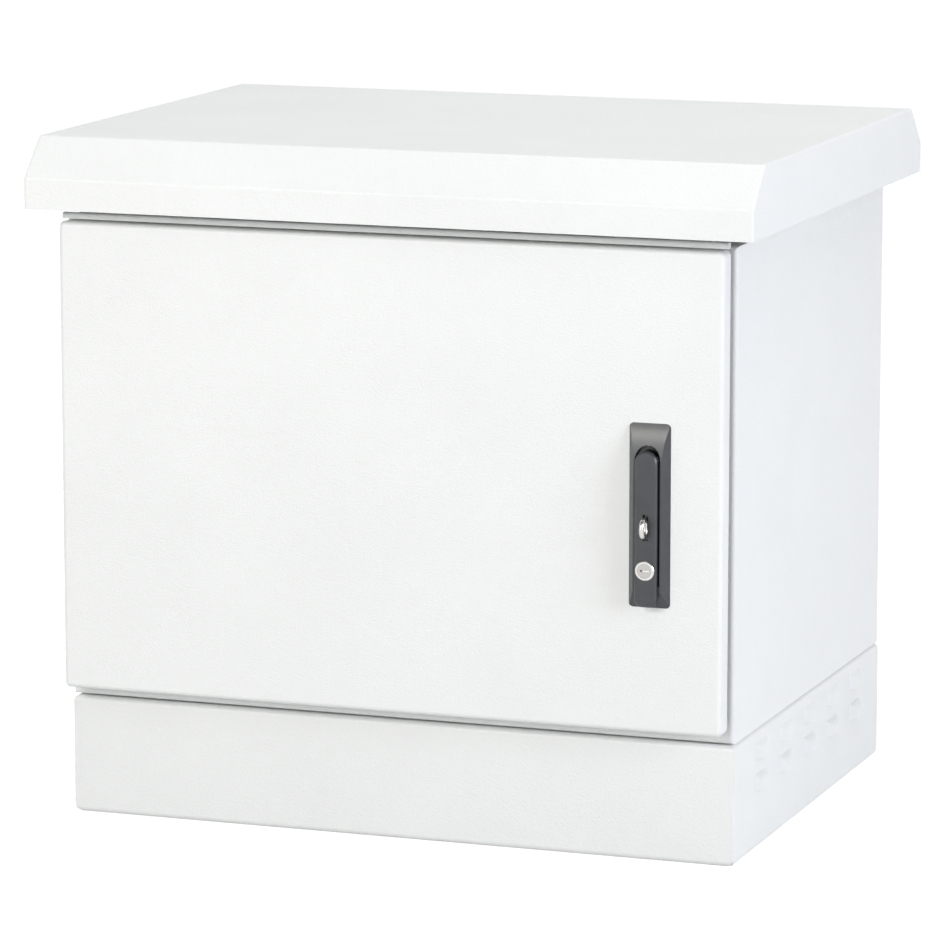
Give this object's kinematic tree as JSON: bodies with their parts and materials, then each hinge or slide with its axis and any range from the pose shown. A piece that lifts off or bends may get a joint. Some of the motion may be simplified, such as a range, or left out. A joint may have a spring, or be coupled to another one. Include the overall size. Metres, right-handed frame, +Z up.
{
  "type": "roadside utility cabinet",
  "caption": "Free-standing outdoor equipment cabinet on a louvred plinth, with an overhanging canopy, one hinged door with a swing handle, and rack rails inside.",
  "frame": {"origin": "middle of the plinth's base, at ground level, centred between the four anchor holes", "axes": "+X to the right as seen from the front, +Y towards the back, +Z up; the door faces -Y"},
  "size_m": [0.648, 0.5386, 0.593],
  "materials": {
    "powder_coat": "light grey powder coat with a fine texture",
    "galvanised_steel": "zinc plated sheet",
    "fastener_steel": "zinc plated fasteners",
    "nickel_steel": "satin nickel plate",
    "handle_plastic": "dark grey glass-filled plastic",
    "foam_gasket": "foamed polyurethane seal",
    "spacer_plastic": "black washers"
  },
  "bodies": {
    "cabinet": {"body_bolt_nuts": "fastener_steel", "body_bolts": "fastener_steel", "body_floor": "powder_coat", "body_spacers": "spacer_plastic", "body_top_panel": "powder_coat", "canopy": "powder_coat", "canopy_screws": "fastener_steel", "canopy_strip_front": "powder_coat", "canopy_strip_left": "powder_coat", "canopy_strip_rear": "powder_coat", "canopy_strip_right": "powder_coat", "gland_plate": "galvanised_steel", "gland_plate_screws": "fastener_steel", "hinge_bracket_lower": "galvanised_steel", "hinge_bracket_nuts": "fastener_steel", "hinge_bracket_screws": "fastener_steel", "hinge_bracket_upper": "galvanised_steel", "plinth_bracket_front_left": "galvanised_steel", "plinth_bracket_front_right": "galvanised_steel", "plinth_bracket_rear_left": "galvanised_steel", "plinth_bracket_rear_right": "galvanised_steel", "plinth_front": "powder_coat", "plinth_left": "powder_coat", "plinth_rear": "powder_coat", "plinth_right": "powder_coat", "rack_rail_front_left": "galvanised_steel", "rack_rail_front_right": "galvanised_steel", "rack_rail_rear_left": "galvanised_steel", "rack_rail_rear_right": "galvanised_steel", "rail_screws": "fastener_steel", "rail_support_lower_left": "galvanised_steel", "rail_support_lower_right": "galvanised_steel", "rail_support_upper_left": "galvanised_steel", "rail_support_upper_right": "galvanised_steel", "rear_panel": "powder_coat", "side_panel_left": "powder_coat", "side_panel_right": "powder_coat"},
    "door": {"door_panel": "powder_coat", "door_gasket": "foam_gasket", "door_strip_left": "galvanised_steel", "door_strip_right": "galvanised_steel", "hinge_leaf_lower": "galvanised_steel", "hinge_leaf_upper": "galvanised_steel", "hinge_pin_lower": "galvanised_steel", "hinge_pin_upper": "galvanised_steel", "hinge_leaf_nuts": "fastener_steel", "handle_base": "handle_plastic", "handle_clamp": "galvanised_steel", "handle_screws": "fastener_steel"},
    "handle_hub": {"handle_rotor": "galvanised_steel", "padlock_staple": "nickel_steel", "latch_cam": "galvanised_steel", "cam_bolt": "fastener_steel"},
    "lever": {"handle_lever": "handle_plastic", "lever_pin": "galvanised_steel", "lock_ring": "nickel_steel"},
    "lock": {"lock_plug": "nickel_steel"}
  },
  "joints": [
    {"name": "door_swing", "type": "hinge", "parent": "cabinet", "child": "door", "pos_m": [-0.2868, -0.244, 0.3195], "axis": [0, 0, -1], "range_deg": [0, 110]},
    {"name": "handle_turn", "type": "hinge", "parent": "door", "child": "handle_hub", "pos_m": [0.234, -0.252, 0.348], "axis": [0, 1, 0], "range_deg": [0, 90]},
    {"name": "handle_lift", "type": "hinge", "parent": "handle_hub", "child": "lever", "pos_m": [0.234, -0.258, 0.348], "axis": [-1, 0, 0], "range_deg": [0, 35]},
    {"name": "key_turn", "type": "hinge", "parent": "lever", "child": "lock", "pos_m": [0.234, -0.2646, 0.2563], "axis": [0, 1, 0], "range_deg": [0, 90]}
  ]
}
